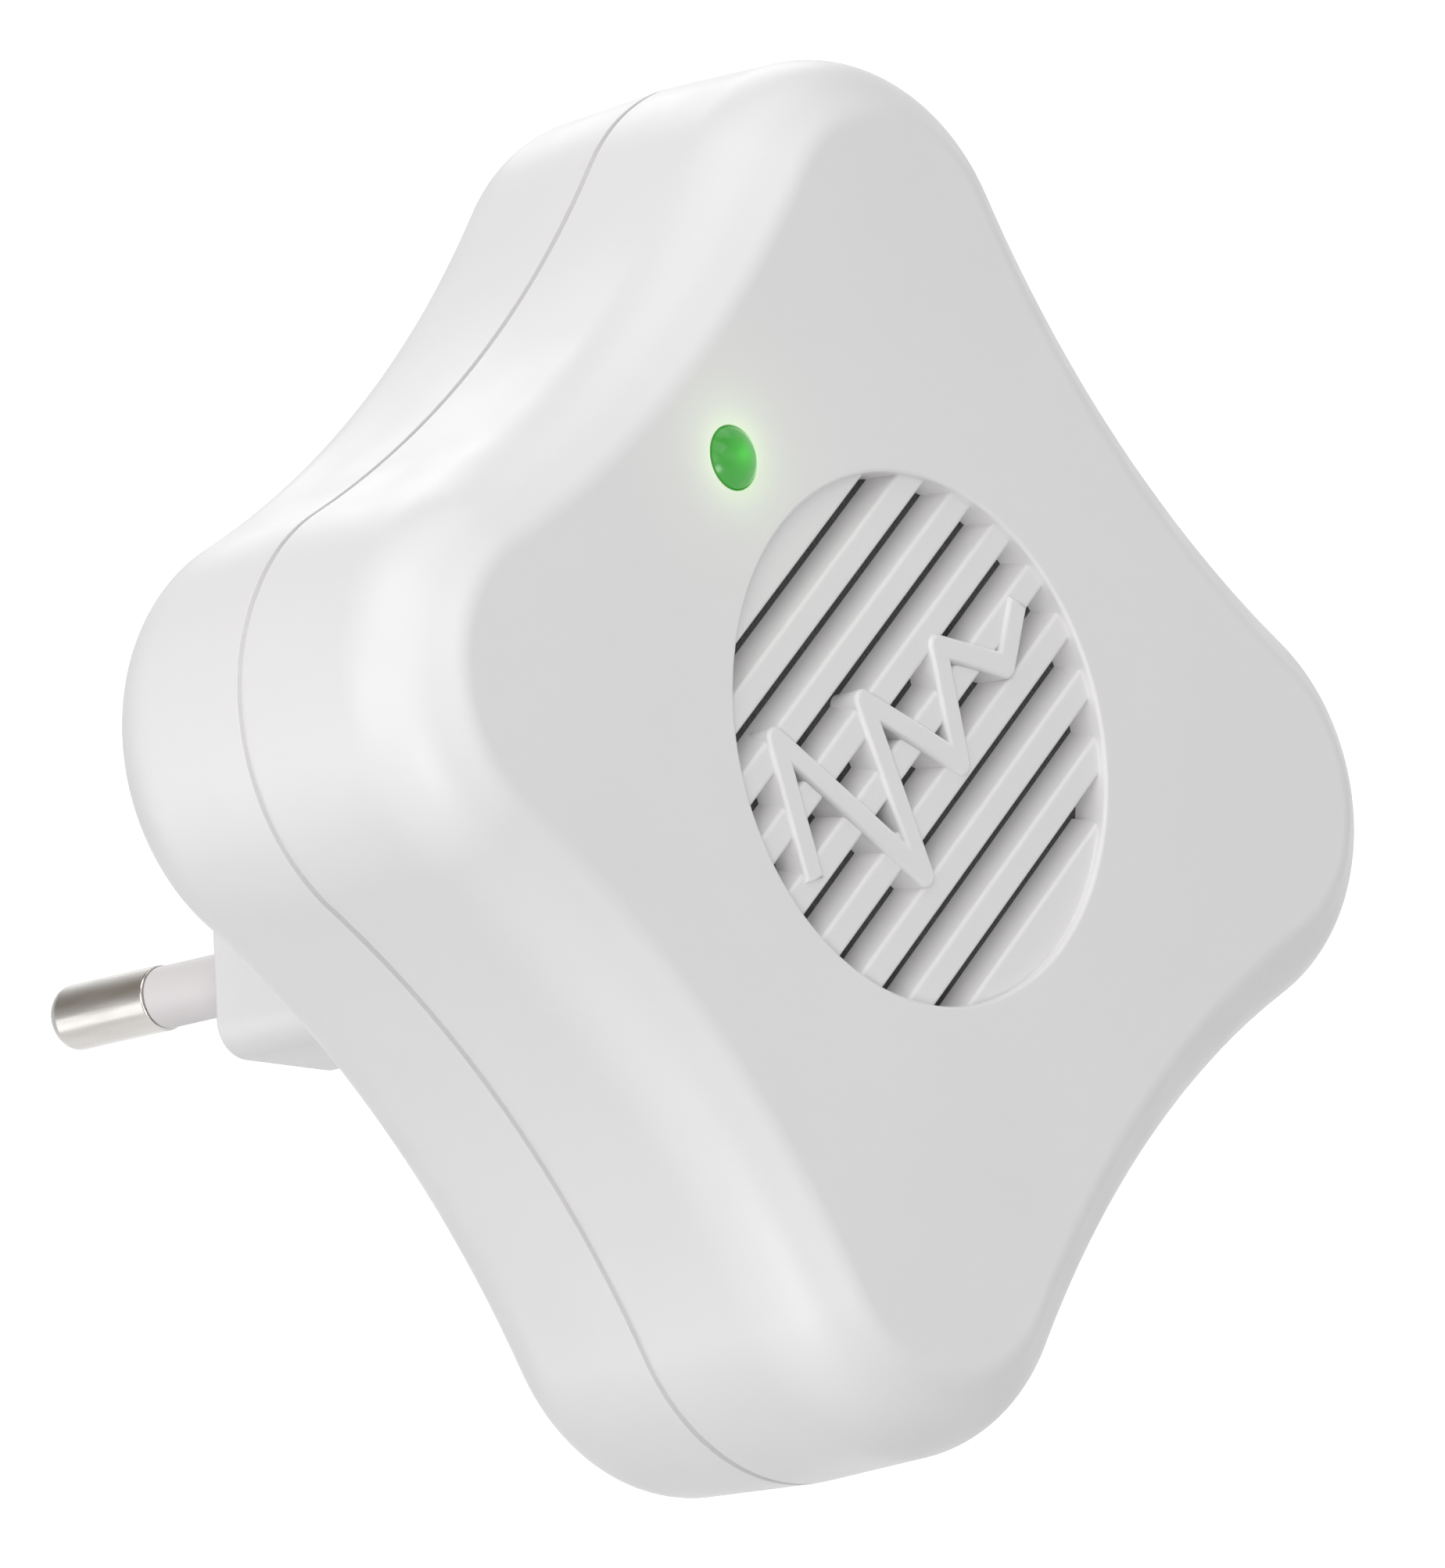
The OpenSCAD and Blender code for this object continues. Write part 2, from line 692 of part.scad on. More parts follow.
module mains_wire(x, insulation) {
    cup = retainer_front - stub_len;
    color(insulation) at_seam() {
        rod(wire_core_r, cup - fit, cup + solder_cup - 0.2, x);
        rod(wire_r, wire_cross + wire_bend, cup, x);
        wire_elbow(x, [wire_cross + wire_bend, -wire_bend], 180);
        translate([x, wire_cross, wire_z + wire_bend])
            cylinder(h = -wire_z - 2 * wire_bend, r = wire_r, $fn = 32);
        wire_elbow(x, [wire_cross - wire_bend, wire_z + wire_bend], 0);
        rod(wire_r, board_back, wire_cross - wire_bend, x, wire_z);
        rod(lead_r, board_at, board_back + fit, x, wire_z);
    }
}

module live_wire() {
    mains_wire(-pin_pitch / 2, [0.36, 0.2, 0.1]);
}

module neutral_wire() {
    mains_wire(pin_pitch / 2, [0.1, 0.25, 0.6]);
}

// ---- Sounder ----

module dust_felt() {
    color(BLACK) at_seam()
        rod(tube_r - felt_ring, front_floor, front_floor + felt_t, 0, grille_z);
}

module sounder_gasket() {
    color(BLACK) at_seam() difference() {
        rod(tube_r + 1.7, tube_end, flange_front, 0, grille_z);
        rod(tube_r, tube_end - over, flange_front + over, 0, grille_z);
    }
}

// Moulded frame: flange with three ears, and a bowl that holds the stack behind the cone
module sounder_frame() {
    ear_r = post_r + 0.4;
    color([0.13, 0.13, 0.14]) at_seam() difference() {
        union() {
            rod(sounder_r, flange_front, flange_back, 0, grille_z);
            at_ears() rod(ear_r, flange_front, flange_back);
            plate(flange_front, flange_back)
                for (a = ear_angles)
                    translate([0, grille_z]) rotate(a) translate([0, -ear_r]) square([ear_circle, 2 * ear_r]);
            turned([
                [0, flange_front], [bowl_r + bowl_wall, flange_front],
                [bowl_r + bowl_wall, flange_back], [bowl_floor_r + bowl_wall, bowl_back], [0, bowl_back]
            ], 0, grille_z);
        }
        turned([
            [0, flange_front - over], [cone_rim_r + 0.1, flange_front - over],
            [cone_rim_r + 0.1, cone_seat], [bowl_r - 1, cone_seat],
            [bowl_floor_r, bowl_floor], [0, bowl_floor]
        ], 0, grille_z);
        at_ears() rod(small_shank_r + 0.2, flange_front - over, flange_back + over);
        for (side = [-1, 1])
            rod(wire_r + 0.1, bowl_floor - over, bowl_back + over, side * sounder_lead_x,
                grille_z + sounder_lead_z);
    }
}

// Paper cone: a flat glued rim, the cone, and a small flat tip on the disc
module sounder_cone() {
    rim_in = bowl_r - 0.4;
    color([0.2, 0.19, 0.17]) at_seam() turned([
        [0, disc_front], [cone_tip_r, disc_front], [rim_in, cone_seat], [cone_rim_r, cone_seat],
        [cone_rim_r, cone_seat - cone_t], [rim_in - 0.1, cone_seat - cone_t],
        [cone_tip_r - 0.1, disc_front - cone_t], [0, disc_front - cone_t]
    ], 0, grille_z);
}

module piezo_disc() {
    color([0.75, 0.6, 0.25]) at_seam() rod(disc_r, disc_front, disc_back, 0, grille_z);
}

module piezo_wafer() {
    color([0.85, 0.83, 0.78]) at_seam() rod(wafer_r, disc_back, wafer_back, 0, grille_z);
}

// Foam ring between the wafer and the bowl's floor
module sounder_damper() {
    color([0.3, 0.3, 0.31]) at_seam() difference() {
        rod(wafer_r, wafer_back, bowl_floor, 0, grille_z);
        rod(wafer_r * 0.45, wafer_back - over, bowl_floor + over, 0, grille_z);
        for (side = [-1, 1])
            rod(wire_r + 0.1, wafer_back - over, bowl_floor + over, side * sounder_lead_x,
                grille_z + sounder_lead_z);
    }
}

module sounder_screws() {
    color(STEEL) at_seam() at_ears() screw(flange_back, small_screw, small_head_r, small_shank_r, 1);
}

// Two short leads from the wafer, through the bowl's floor, to the board's copper side
module sounder_leads() {
    color([0.7, 0.1, 0.1]) at_seam()
        for (side = [-1, 1])
            rod(wire_r - 0.3, wafer_back, board_at, side * sounder_lead_x, grille_z + sounder_lead_z);
}

// ---- Indicator light ----

led_tip = -front_depth - led_out;
led_base = led_tip + led_len;
led_flange_r = led_r + 0.35;
led_flange_t = 0.9;
led_round = (pow(led_r, 2) + pow(led_out, 2)) / (2 * led_out);
led_cap = asin(led_r / led_round);

module led_lens() {
    color([0.2, 0.72, 0.2]) at_seam() turned(concat(
        [[0, led_base], [led_flange_r, led_base]],
        [[led_flange_r, led_base - led_flange_t], [led_r, led_base - led_flange_t]],
        [for (i = [8:-1:0]) [led_round * sin(led_cap * i / 8), led_tip + led_round * (1 - cos(led_cap * i / 8))]]
    ), 0, led_z);
}

module led_legs() {
    color(TIN) at_seam()
        for (side = [-1, 1]) rod(lead_r, led_base, board_back, side * led_pitch / 2, led_z);
}

// Plastic tube block that holds the light at its height above the board
module led_spacer() {
    color([0.9, 0.9, 0.86]) at_seam() difference() {
        rod(led_r + 0.6, led_base, board_at, 0, led_z);
        for (side = [-1, 1])
            rod(lead_r + 0.1, led_base - over, board_at + over, side * led_pitch / 2, led_z);
    }
}

// ---- Circuit board and its parts ----

module circuit_board() {
    color(BOARD_TAN) at_seam() difference() {
        plate(board_at, board_back) union() {
            square([2 * board_half, 2 * board_arm], center = true);
            square([2 * board_arm, 2 * board_half], center = true);
        }
        at_board_fixings() rod(small_shank_r + 0.2, board_at - over, board_back + over);
        for (p = all_leads) rod(lead_r + 0.1, board_at - over, board_back + over, p.x, p.y);
    }
}

module board_screws() {
    color(STEEL) at_seam() at_board_fixings()
        screw(board_at, small_screw, small_head_r, small_shank_r, -1);
}

module solder_joints() {
    color(TIN) at_seam()
        for (p = all_leads)
            if (p.y != led_z) taper(0.4, 0.85, board_at - solder_h, board_at, p.x, p.y);
}

// Leads that run straight through the board from a height above its back face
module leads(points, height) {
    for (p = points) rod(lead_r, board_at, board_back + height, p.x, p.y);
}

// Part with a round body lying along Z and a bent lead at each end
module axial_part(pos, span, body, body_colour) {
    rise = lead_off + body[1];
    color(TIN) {
        leads(pair_z(pos, span), rise);
        for (side = [-1, 1])
            translate([pos.x, board_back + rise, pos.y + (side < 0 ? -span / 2 - lead_r : body[0] / 2)])
                cylinder(h = span / 2 - body[0] / 2 + lead_r, r = lead_r);
    }
    color(body_colour) translate([pos.x, board_back + rise, pos.y - body[0] / 2])
        cylinder(h = body[0], r = body[1]);
}

module fuse_resistor() {
    at_seam() axial_part(fuse_pos, fuse_span, fuse_body, [0.35, 0.5, 0.4]);
}

module zener_diode() {
    at_seam() axial_part(zener_pos, zener_span, zener_body, BLACK);
}

module resistors() {
    at_seam()
        for (p = resistor_pos)
            translate([p.x, 0, p.y]) rotate([0, 90, 0])
                axial_part([0, 0], resistor_span, resistor_body, [0.76, 0.65, 0.45]);
}

// Box on short leads, sized [x, height, z]
module boxed_part(pos, size, lift) {
    translate([pos.x - size.x / 2, board_back + lift, pos.y - size.z / 2]) cube(size);
}

module film_capacitor() {
    at_seam() {
        color([0.85, 0.68, 0.12]) boxed_part(film_pos, film_size, lead_off);
        color(TIN) leads(pair_x(film_pos, film_span), lead_off);
    }
}

module bridge_rectifier() {
    at_seam() {
        color(BLACK) boxed_part(bridge_pos, bridge_size, lead_off);
        color(TIN)
            for (p = bridge_leads) {
                rod(lead_r, board_at, board_back + lead_off + bridge_size.y / 2 + lead_r, p.x, p.y);
                inner = bridge_pos.y + sign(p.y - bridge_pos.y) * bridge_size.z / 2;
                translate([p.x - lead_r, board_back + lead_off + bridge_size.y / 2 - lead_r, min(inner, p.y)])
                    cube([2 * lead_r, 2 * lead_r, abs(p.y - inner)]);
            }
    }
}

// Electrolytic can lying along X, with its pressed groove near the leads' end
module filter_capacitor() {
    groove = 1.6;
    centre_y = board_back + lead_off + filter_r;
    start_x = filter_pos.x - filter_len / 2;
    at_seam() {
        color([0.1, 0.12, 0.3]) translate([start_x, centre_y, filter_pos.y]) rotate([0, 90, 0])
            rotate_extrude() polygon([
                [0, 0], [filter_r - 0.3, 0], [filter_r, 0.3], [filter_r, groove], [filter_r - 0.3, groove + 0.4],
                [filter_r, groove + 0.8], [filter_r, filter_len - 0.3], [filter_r - 0.3, filter_len], [0, filter_len]
            ]);
        color(TIN) {
            leads(filter_leads, lead_off + filter_r + lead_r);
            for (p = filter_leads)
                translate([p.x, centre_y, p.y]) rotate([0, 90, 0]) cylinder(h = start_x - p.x, r = lead_r);
        }
    }
}

// Upright ceramic discs whose faces look along X
module ceramic_capacitors() {
    at_seam()
        for (p = ceramic_pos) {
            color([0.82, 0.5, 0.2]) translate([p.x - ceramic_t / 2, board_back + lead_off + ceramic_r, p.y])
                rotate([0, 90, 0]) cylinder(h = ceramic_t, r = ceramic_r);
            color(TIN) leads(pair_z(p, ceramic_span), lead_off + ceramic_r / 2);
        }
}

// Chip in an eight-legged package with a half-round notch at one end
module oscillator_chip() {
    shoulder = lead_off + chip_size.y / 2;
    at_seam() {
        color(BLACK) difference() {
            boxed_part(chip_pos, chip_size, lead_off);
            rod(0.8, board_back + lead_off + chip_size.y - 0.4, board_back + lead_off + chip_size.y + over,
                chip_pos.x - chip_size.x / 2, chip_pos.y);
        }
        color(TIN)
            for (p = chip_leads) {
                inner = chip_pos.y + sign(p.y - chip_pos.y) * chip_size.z / 2;
                rod(lead_r, board_at, board_back + shoulder + lead_r, p.x, p.y);
                translate([p.x - lead_r, board_back + shoulder - lead_r, min(inner, p.y)])
                    cube([2 * lead_r, 2 * lead_r, abs(p.y - inner)]);
            }
    }
}

// Round-backed transistor bodies with one flat side, on three legs each
module drive_transistors() {
    at_seam()
        for (p = transistor_pos) {
            color(BLACK) difference() {
                rod(transistor_r, board_back + transistor_legs, board_back + transistor_legs + transistor_h,
                    p.x, p.y);
                translate([p.x - transistor_r, board_back, p.y + transistor_flat])
                    cube([2 * transistor_r, transistor_legs + transistor_h + over, transistor_r]);
            }
            color(TIN) leads([for (i = [-1:1]) [p.x + i * transistor_pitch, p.y]], transistor_legs);
        }
}

// Drum-core coil: two ferrite flanges with the winding between them
module boost_coil() {
    foot = board_back + lead_off;
    top = board_back + coil_h;
    winding_r = coil_r - coil_waist;
    at_seam() {
        color([0.25, 0.25, 0.27]) turned([
            [0, foot], [coil_r, foot], [coil_r, foot + coil_flange], [winding_r, foot + coil_flange],
            [winding_r, top - coil_flange], [coil_r, top - coil_flange], [coil_r, top], [0, top]
        ], coil_pos.x, coil_pos.y);
        color(TIN) leads(pair_x(coil_pos, coil_span), lead_off);
    }
}

front_cover();
rear_cover();
housing_screws();
pin_left();
pin_right();
sleeve_left();
sleeve_right();
pin_retainer();
retainer_screw();
live_wire();
neutral_wire();
dust_felt();
sounder_gasket();
sounder_frame();
sounder_cone();
piezo_disc();
piezo_wafer();
sounder_damper();
sounder_screws();
sounder_leads();
led_lens();
led_legs();
led_spacer();
circuit_board();
board_screws();
solder_joints();
fuse_resistor();
film_capacitor();
bridge_rectifier();
filter_capacitor();
zener_diode();
resistors();
ceramic_capacitors();
oscillator_chip();
drive_transistors();
boost_coil();
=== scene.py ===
"""Ultrasonic pest repeller: the looks of its moulded housing, grille, light and plug."""

import json
import math

import bpy
import numpy as np
from mathutils import Matrix, Vector
from mathutils.geometry import delaunay_2d_cdt


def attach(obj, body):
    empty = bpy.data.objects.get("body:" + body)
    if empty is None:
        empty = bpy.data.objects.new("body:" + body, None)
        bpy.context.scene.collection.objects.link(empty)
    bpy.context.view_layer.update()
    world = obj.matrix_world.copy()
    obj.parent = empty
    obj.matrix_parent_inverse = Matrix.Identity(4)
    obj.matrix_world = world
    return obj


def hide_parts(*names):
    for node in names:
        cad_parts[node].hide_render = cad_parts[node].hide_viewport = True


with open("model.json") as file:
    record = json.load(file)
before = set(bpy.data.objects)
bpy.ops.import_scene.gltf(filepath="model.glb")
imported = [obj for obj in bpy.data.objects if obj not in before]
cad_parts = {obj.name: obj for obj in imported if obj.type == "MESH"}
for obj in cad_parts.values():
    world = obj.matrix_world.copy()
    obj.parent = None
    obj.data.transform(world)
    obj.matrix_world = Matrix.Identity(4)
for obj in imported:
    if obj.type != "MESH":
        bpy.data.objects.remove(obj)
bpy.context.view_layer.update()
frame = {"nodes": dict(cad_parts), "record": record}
NODES = frame["nodes"]
MM = 0.001

# Sizes in millimetres. Depths run from the seam, forwards on the front shell and backwards on
# the rear one. SEAM_GAP, SLOT_LEAN and SLEEVE_R are a little larger than in the part's source.
SEAM_Y = -32.8
LOBE_AT, LOBE_R, WAIST_AT, WAIST_R = 19.84, 13.2, 97.96, 67.4
FRONT = {"side": 7.75, "top": 13.4, "round": 5.5, "turn": math.radians(55), "blend": 2.0}
REAR = {"side": 8.0, "top": 13.8, "edge": 8.4}
DRAFT, EDGE_POWER = 0.3, 2.1
SEAM_GAP, SEAM_FILLET, LIP_INSET, FRONT_LIP, REAR_LIP = 0.48, 0.04, 0.36, -1.4, 1.5
GRILLE_R, GRILLE_Z, GRILLE_SUNK, GRILLE_FILLET, FACE_WALL = 15.5, 0.0, 0.55, 0.25, 2.4
SLOTS, SLOT_PITCH, SLOT_W, SLOT_LEAN = 8, 3.46, 1.72, 0.46
BAR_FILLET, BAR_OVERLAP = 0.28, 0.12
WAVE_W, WAVE_RISE, WAVE_FILLET = 1.5, 0.25, 0.26
WAVE_CREST, WAVE_KEEP, WAVE_STEP, WAVE_TURNS = 7.4, 0.76, 3.7, 6
LED_Z, LED_HOLE_R, LED_HOLE_FILLET, LED_R, LED_OUT, LED_DEEP = 20.6, 1.88, 0.14, 1.8, 0.9, 3.0
PLUG_W, PLUG_H, PLUG_ROUND, PLUG_BEVEL, PLUG_ROOT, PLUG_REACH = 35.3, 13.7, 2.2, 0.4, 0.5, 32.8
SCREW_HOLE_R, SCREW_SEAT, SCREW_FILLET = 3.0, 6.3, 0.2
PIN_X, PIN_R, PIN_LEN, PIN_BARE, PIN_NOSE, PIN_EDGE = 9.5, 2.0, 18.5, 8.5, 1.0, 0.18
SLEEVE_R, SLEEVE_BORE, SLEEVE_EDGE, SLEEVE_SUNK = 1.88, 1.6, 0.12, 0.6
POINT_R = 0.002  # radius left at the middle of a turned piece, so that no face shrinks to nothing


# ---- Materials -------------------------------------------------------------------------------


class Mat:
    """A node material on one Principled shader, built up with a few helpers."""

    def __init__(self, name, colour, roughness, metallic=0.0, **sockets):
        self.material = bpy.data.materials.new(name)
        self.material.use_nodes = True
        tree = self.material.node_tree
        self.nodes, self.links = tree.nodes, tree.links
        self.shader = self.nodes["Principled BSDF"]
        self.shader.inputs["Base Color"].default_value = (*colour, 1)
        self.shader.inputs["Roughness"].default_value = roughness
        self.shader.inputs["Metallic"].default_value = metallic
        for socket, value in sockets.items():
            self.shader.inputs[socket.replace("_", " ")].default_value = value

    def place(self, scale=(1, 1, 1)):
        """Position on the object in metres, scaled."""
        where = self.nodes.new("ShaderNodeTexCoord")
        mapping = self.nodes.new("ShaderNodeMapping")
        mapping.inputs["Scale"].default_value = scale
        self.links.new(where.outputs["Object"], mapping.inputs["Vector"])
        return mapping.outputs["Vector"]

    def noise(self, scale, detail, rough=0.5, stretch=(1, 1, 1)):
        tex = self.nodes.new("ShaderNodeTexNoise")
        tex.inputs["Scale"].default_value = scale
        tex.inputs["Detail"].default_value = detail
        tex.inputs["Roughness"].default_value = rough
        self.links.new(self.place(stretch), tex.inputs["Vector"])
        return tex.outputs["Fac"]

    def tint(self, value, colours, start=0.3, end=0.7):
        """Base colour that runs through the colours as value goes from start to end."""
        ramp = self.nodes.new("ShaderNodeValToRGB")
        stops = ramp.color_ramp.elements
        while len(stops) < len(colours):
            stops.new(0.5)
        for i, c in enumerate(colours):
            stops[i].position = start + (end - start) * i / (len(colours) - 1)
            stops[i].color = (*c, 1)
        self.links.new(value, ramp.inputs["Fac"])
        self.links.new(ramp.outputs["Color"], self.shader.inputs["Base Color"])

    def rough(self, value, low, high):
        """Roughness that runs from low to high over the middle of value's range."""
        ramp = self.nodes.new("ShaderNodeMapRange")
        limits = {"From Min": 0.3, "From Max": 0.7, "To Min": low, "To Max": high}
        for name, limit in limits.items():
            ramp.inputs[name].default_value = limit
        self.links.new(value, ramp.inputs["Value"])
        self.links.new(ramp.outputs["Result"], self.shader.inputs["Roughness"])

    def bump(self, height, distance):
        """Surface relief from height, with distance in metres."""
        made = self.nodes.new("ShaderNodeBump")
        made.inputs["Distance"].default_value = distance
        made.inputs["Strength"].default_value = 1.0
        self.links.new(height, made.inputs["Height"])
        self.links.new(made.outputs["Normal"], self.shader.inputs["Normal"])


def shade(colour, k):
    return tuple(c * k for c in colour)


def moulded(name, colour, roughness=0.36, spread=0.05, grain=0.0000012):
    """Moulded plastic: faint flow and shade changes, fine spark-eroded grain, uneven gloss."""
    m = Mat(name, colour, roughness, Specular_IOR_Level=0.38)
    m.tint(m.noise(60, 3), [shade(colour, 0.985), colour, shade(colour, 1.01)])
    m.rough(m.noise(220, 4), roughness - spread, roughness + spread)
    m.bump(m.noise(3000, 1), grain)
    return m.material


def coated(name, colour, roughness=0.4):
    """Cable sheath, dipped or cast part: moulded plastic with a coarser grain."""
    return moulded(name, colour, roughness, 0.08, 0.00001)


def metal(name, colour, roughness, stretch=(1, 1, 1)):
    """Bare metal: faint stains, uneven polish and fine scratches, drawn out along one axis."""
    m = Mat(name, colour, roughness, 1.0)
    m.tint(m.noise(700, 4, stretch=stretch), [shade(colour, 0.86), colour, shade(colour, 1.08)])
    m.rough(m.noise(1500, 3, stretch=stretch), roughness - 0.08, roughness + 0.12)
    m.bump(m.noise(2600, 2, stretch=stretch), 0.000004)
    return m.material


def felt_cloth(name, colour):
    """Felt or pressed paper: matt and fibrous."""
    m = Mat(name, colour, 0.95, Sheen_Weight=0.3)
    m.tint(m.noise(3000, 5, 0.7), [shade(colour, 0.5), colour, shade(colour, 1.6)])
    m.bump(m.noise(4200, 5, 0.7), 0.00012)
    return m.material


def foam_rubber(name, colour):
    """Foam with cells of about half a millimetre, with painted shade in the cells' hollows."""
    m = Mat(name, colour, 0.85)
    cells = m.nodes.new("ShaderNodeTexVoronoi")
    cells.inputs["Scale"].default_value = 2400
    m.links.new(m.place(), cells.inputs["Vector"])
    # Painted shade: each cell's hollow, the pit of the bump below, is coloured darker than its
    # rim.
    m.tint(cells.outputs["Distance"], [shade(colour, 0.5), colour, shade(colour, 1.3)], 0, 0.7)
    m.bump(cells.outputs["Distance"], 0.0001)
    return m.material


def laminate():
    """Brown phenolic paper board, with fibres along Z."""
    m = Mat("phenolic_laminate", (0.36, 0.19, 0.07), 0.5)
    browns = [(0.30, 0.15, 0.05), (0.38, 0.20, 0.08), (0.43, 0.25, 0.10)]
    m.tint(m.noise(900, 5, 0.65, (1, 1, 0.35)), browns)
    m.rough(m.noise(400, 3), 0.42, 0.6)
    m.bump(m.noise(2600, 3, stretch=(1, 1, 0.2)), 0.00002)
    return m.material


def led_plastic():
    """Lit green lens: tinted clear resin with an even glow."""
    m = Mat("lit_green_lens", (0.01, 0.09, 0.01), 0.2, IOR=1.45, Emission_Strength=0.46)
    glow = m.noise(700, 2)
    m.tint(glow, [(0.008, 0.075, 0.008), (0.012, 0.10, 0.012)])
    ramp = m.nodes.new("ShaderNodeValToRGB")
    ramp.color_ramp.elements[0].color = (0.06, 0.50, 0.05, 1)
    ramp.color_ramp.elements[1].color = (0.085, 0.60, 0.075, 1)
    m.links.new(glow, ramp.inputs["Fac"])
    m.links.new(ramp.outputs["Color"], m.shader.inputs["Emission Color"])
    return m.material


white_plastic = moulded("white_abs", (0.80, 0.79, 0.795))
sleeve_plastic = moulded("sleeve_plastic", (0.74, 0.71, 0.715), 0.42)
nickel = metal("nickel", (0.50, 0.485, 0.465), 0.22, (1, 0.12, 1))

# Material of each of the record's slots.
FINISH = {
    "brown_insulation": coated("brown_pvc", (0.13, 0.045, 0.015), 0.38),
    "blue_insulation": coated("blue_pvc", (0.01, 0.05, 0.35), 0.38),
    "red_insulation": coated("red_pvc", (0.5, 0.01, 0.01), 0.38),
    "black_plastic": coated("black_moulding", (0.02, 0.02, 0.022), 0.5),
    "steel": metal("zinc_steel", (0.55, 0.55, 0.57), 0.34),
    "nickel": nickel,
    "sleeve_grey": sleeve_plastic,
    "housing_white": white_plastic,
    "felt": felt_cloth("black_felt", (0.03, 0.029, 0.029)),
    "foam": foam_rubber("foam", (0.05, 0.05, 0.052)),
    "cone_paper": felt_cloth("treated_paper", (0.035, 0.032, 0.028)),
    "brass": metal("brass", (0.62, 0.44, 0.16), 0.3, (1, 1, 0.1)),
    "ceramic": coated("silvered_ceramic", (0.68, 0.65, 0.58), 0.45),
    "tinned_wire": metal("tinned_wire", (0.6, 0.61, 0.63), 0.28),
    "spacer_white": coated("nylon", (0.75, 0.75, 0.7), 0.45),
    "board_laminate": laminate(),
    "resistor_coat": coated("resistor_coat", (0.45, 0.33, 0.17), 0.45),
    "film_case": coated("film_case", (0.65, 0.38, 0.01), 0.35),
    "can_sleeve": coated("can_sleeve", (0.01, 0.014, 0.07), 0.3),
    "ceramic_coat": coated("dipped_ceramic", (0.6, 0.2, 0.03)),
    "ferrite": coated("ferrite", (0.04, 0.04, 0.045), 0.6),
    "green_lens": led_plastic(),
}


# ---- Mesh code -------------------------------------------------------------------------------


def add_piece(name, skin, slot, replaces=()):
    """Piece from a skin, with its exact normals, riding on the body and replacing these nodes."""
    at, ways = np.array(skin.points, float), np.array(skin.normals, float)
    wound = []
    for f in skin.faces:
        a, b, c, d = at[f[0]], at[f[1]], at[f[2]], at[f[-1]]
        across = np.cross(c - a, d - b) if len(f) == 4 else np.cross(b - a, c - a)
        facing = np.dot(across, ways[list(f)].sum(0))
        wound.append(f if facing > 0 else f[::-1])
    mesh = bpy.data.meshes.new(name)
    mesh.from_pydata([tuple(c * MM for c in p) for p in skin.points], [], wound)
    mesh.polygons.foreach_set("use_smooth", [True] * len(mesh.polygons))
    mesh.normals_split_custom_set_from_vertices([tuple(n) for n in skin.normals])
    mesh.materials.append(FINISH[slot])
    made = bpy.data.objects.new(name, mesh)
    bpy.context.scene.collection.objects.link(made)
    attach(made, "root")
    if replaces:
        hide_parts(*replaces)


class Skin:
    """Collects points with normals and faces. A sharp edge is two rows of the same points."""

    def __init__(self):
        self.points, self.normals, self.faces = [], [], []

    def row(self, points, normals):
        start = len(self.points)
        self.points += [tuple(p) for p in points]
        self.normals += [tuple(n) for n in normals]
        return range(start, len(self.points))

    def level(self, flat, ways, y, out, deep):
        """Row in the plane at y. Its normals share out between outward and along Y."""
        return self.row(
            [(p[0], y, p[1]) for p in flat],
            [(w[0] * out, deep, w[1] * out) for w in ways],
        )

    def band(self, a, b, closed=True):
        """Faces between two rows. Their winding is set later, from the normals."""
        n = len(a)
        for i in range(n if closed else n - 1):
            j = (i + 1) % n
            self.faces.append((a[i], a[j], b[j], b[i]))

    def bands(self, rows, closed=True):
        for a, b in zip(rows, rows[1:]):
            self.band(a, b, closed)

    def cap(self, rows, y, normal):
        """Flat face at y whose outline is the first row and whose holes are the other rows."""
        loops = [[(self.points[i][0], self.points[i][2]) for i in r] for r in rows]
        flat = [Vector(p) for loop in loops for p in loop]
        edges, start = [], 0
        for loop in loops:
            n = len(loop)
            edges += [(start + i, start + (i + 1) % n) for i in range(n)]
            start += n
        out, _, triangles, *_ = delaunay_2d_cdt(flat, edges, [], 1, 1e-7)
        base = len(self.points)
        self.points += [(p.x, y, p.y) for p in out]
        self.normals += [normal] * len(out)
        for t in triangles:
            c = sum((out[i] for i in t), Vector((0, 0))) / 3
            if inside(c, loops[0]) and not any(inside(c, loop) for loop in loops[1:]):
                self.faces.append(tuple(base + i for i in t))


def inside(p, loop):
    """Whether a point lies in a closed loop of points."""
    hit, n = False, len(loop)
    for i in range(n):
        (x1, z1), (x2, z2) = loop[i], loop[(i + 1) % n]
        if (z1 > p[1]) != (z2 > p[1]) and p[0] < x1 + (p[1] - z1) * (x2 - x1) / (z2 - z1):
            hit = not hit
    return hit


